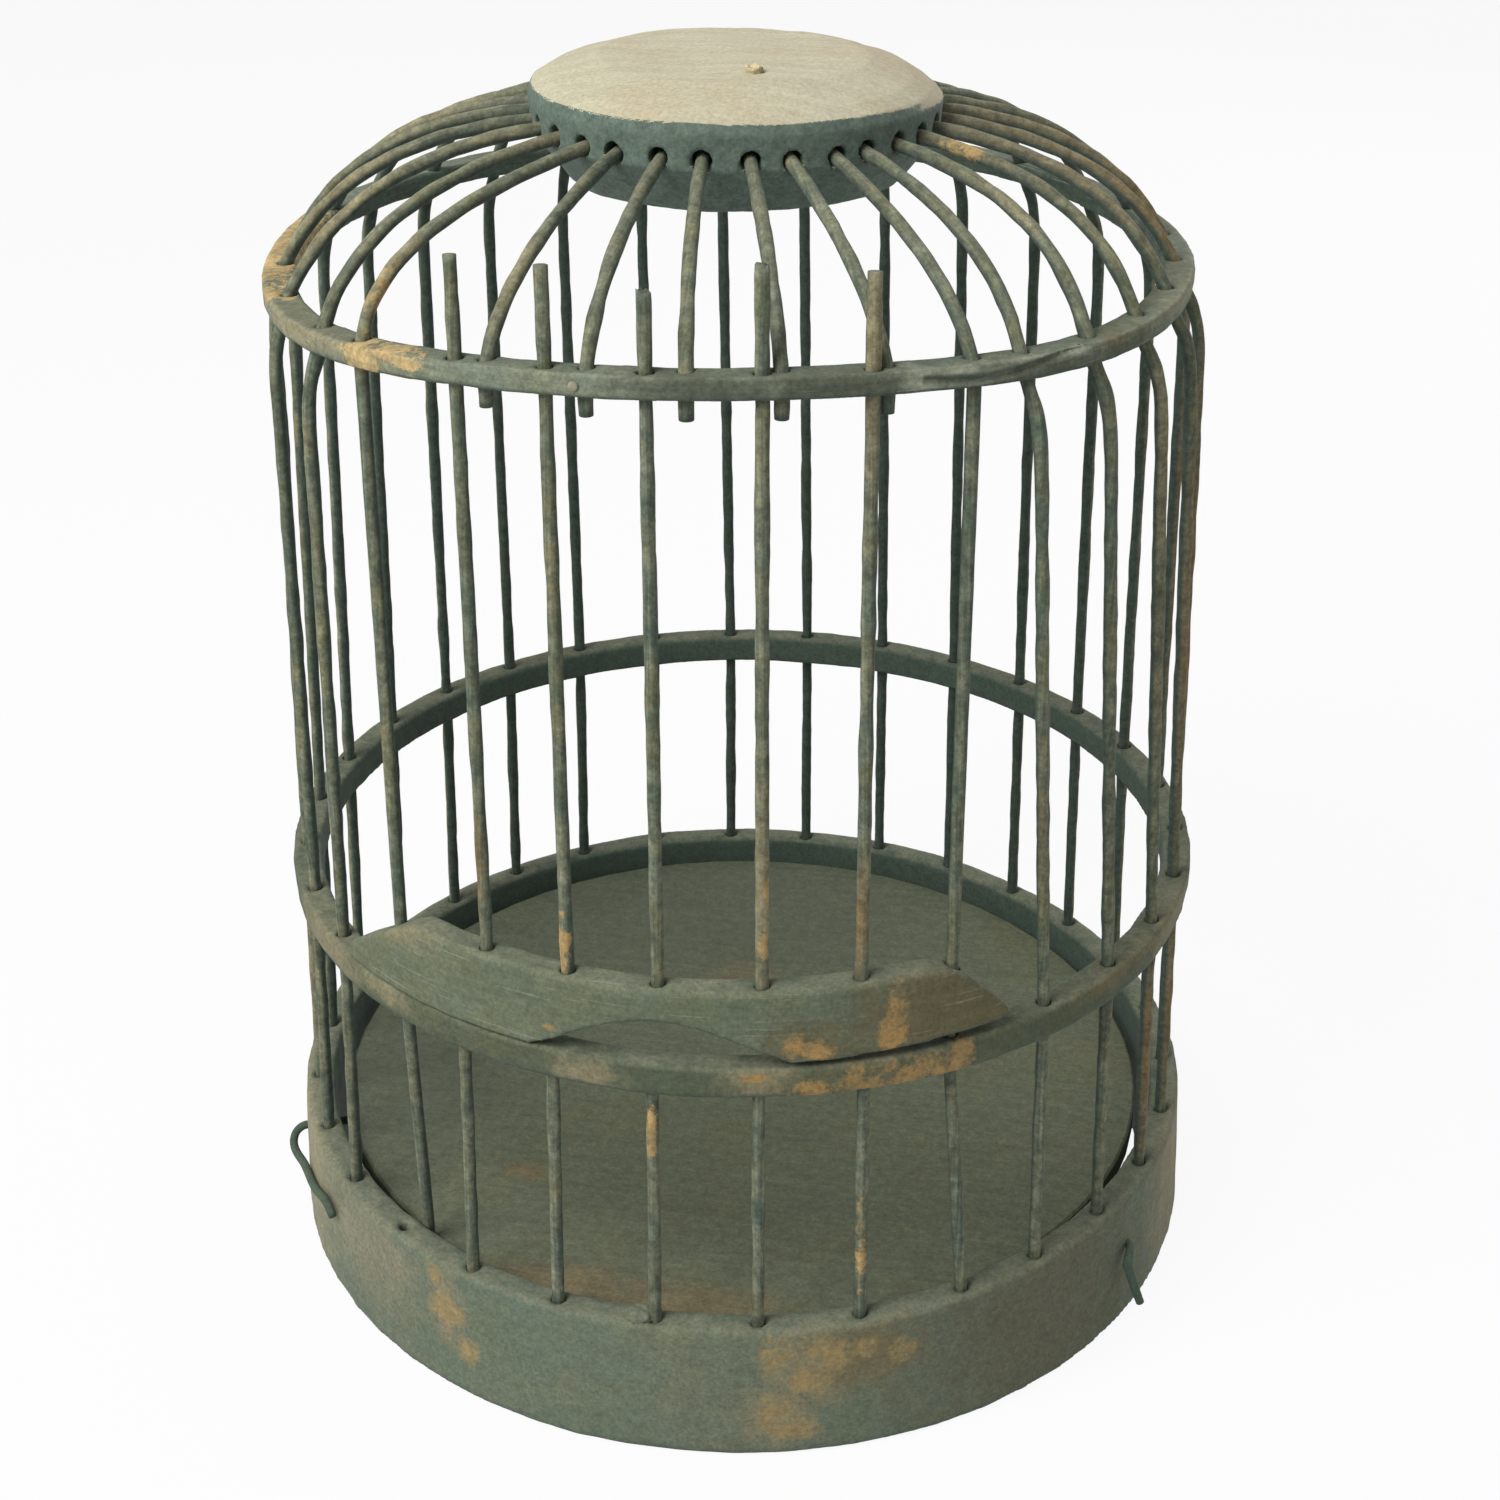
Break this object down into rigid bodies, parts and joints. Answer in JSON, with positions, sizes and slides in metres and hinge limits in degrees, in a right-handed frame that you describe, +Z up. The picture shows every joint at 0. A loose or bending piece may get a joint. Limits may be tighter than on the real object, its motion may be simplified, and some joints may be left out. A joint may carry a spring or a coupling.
{
  "type": "bird cage",
  "caption": "Round domed bird cage of bamboo bars in wooden hoops, with a wooden cap, a sliding door and a loose floor board.",
  "frame": {"origin": "centre of the cage's round base, at the underside of the base ring", "axes": "+Z up to the cap, -Y towards the door, +X to the right of someone who faces the door"},
  "size_m": [0.3216, 0.3224, 0.4033],
  "materials": {
    "painted_wood": "matt grey-green paint, worn to the wood",
    "painted_bamboo": "matt grey-green paint on bamboo",
    "bare_wood": "bare, hand-carved wood",
    "floor_wood": "dark, stained wood",
    "painted_wire": "dark green paint on wire"
  },
  "bodies": {
    "frame": {"base_ring": "painted_wood", "mid_hoop": "painted_wood", "top_hoop": "painted_wood", "cap": "bare_wood", "hanger_peg": "bare_wood", "rib_01": "painted_bamboo", "rib_02": "painted_bamboo", "rib_03": "painted_bamboo", "rib_04": "painted_bamboo", "rib_05": "painted_bamboo", "rib_06": "painted_bamboo", "rib_07": "painted_bamboo", "rib_08": "painted_bamboo", "rib_09": "painted_bamboo", "rib_10": "painted_bamboo", "rib_11": "painted_bamboo", "rib_12": "painted_bamboo", "rib_13": "painted_bamboo", "rib_14": "painted_bamboo", "rib_15": "painted_bamboo", "rib_16": "painted_bamboo", "rib_17": "painted_bamboo", "rib_18": "painted_bamboo", "rib_19": "painted_bamboo", "rib_20": "painted_bamboo", "rib_21": "painted_bamboo", "rib_22": "painted_bamboo", "rib_23": "painted_bamboo", "rib_24": "painted_bamboo", "rib_25": "painted_bamboo", "short_rib_1": "painted_bamboo", "short_rib_2": "painted_bamboo", "short_rib_3": "painted_bamboo", "short_rib_4": "painted_bamboo", "short_rib_5": "painted_bamboo", "lower_bar_1": "painted_bamboo", "lower_bar_2": "painted_bamboo", "lower_bar_3": "painted_bamboo", "lower_bar_4": "painted_bamboo", "lower_bar_5": "painted_bamboo"},
    "door": {"door_board": "painted_wood", "door_bar_1": "painted_bamboo", "door_bar_2": "painted_bamboo", "door_bar_3": "painted_bamboo", "door_bar_4": "painted_bamboo", "door_bar_5": "painted_bamboo"},
    "floor": {"floor_board": "floor_wood"},
    "pin_right": {"pin_right": "painted_wire"},
    "pin_left": {"pin_left": "painted_wire"},
    "pin_back": {"pin_back": "painted_wire"}
  },
  "joints": [
    {"name": "door_slide", "type": "slide", "parent": "frame", "child": "door", "axis": [-0.0143, 0.0638, 0.9979], "range_m": [0, 0.145]},
    {"name": "floor_lift", "type": "slide", "parent": "frame", "child": "floor", "axis": [0, 0, 1], "range_m": [0, 0.03]},
    {"name": "pin_right_draw", "type": "slide", "parent": "frame", "child": "pin_right", "axis": [0.9018, -0.4321, 0], "range_m": [0, 0.02]},
    {"name": "pin_left_draw", "type": "slide", "parent": "frame", "child": "pin_left", "axis": [-0.9397, -0.342, 0], "range_m": [0, 0.02]},
    {"name": "pin_back_draw", "type": "slide", "parent": "frame", "child": "pin_back", "axis": [0.1392, 0.9903, 0], "range_m": [0, 0.02]}
  ]
}
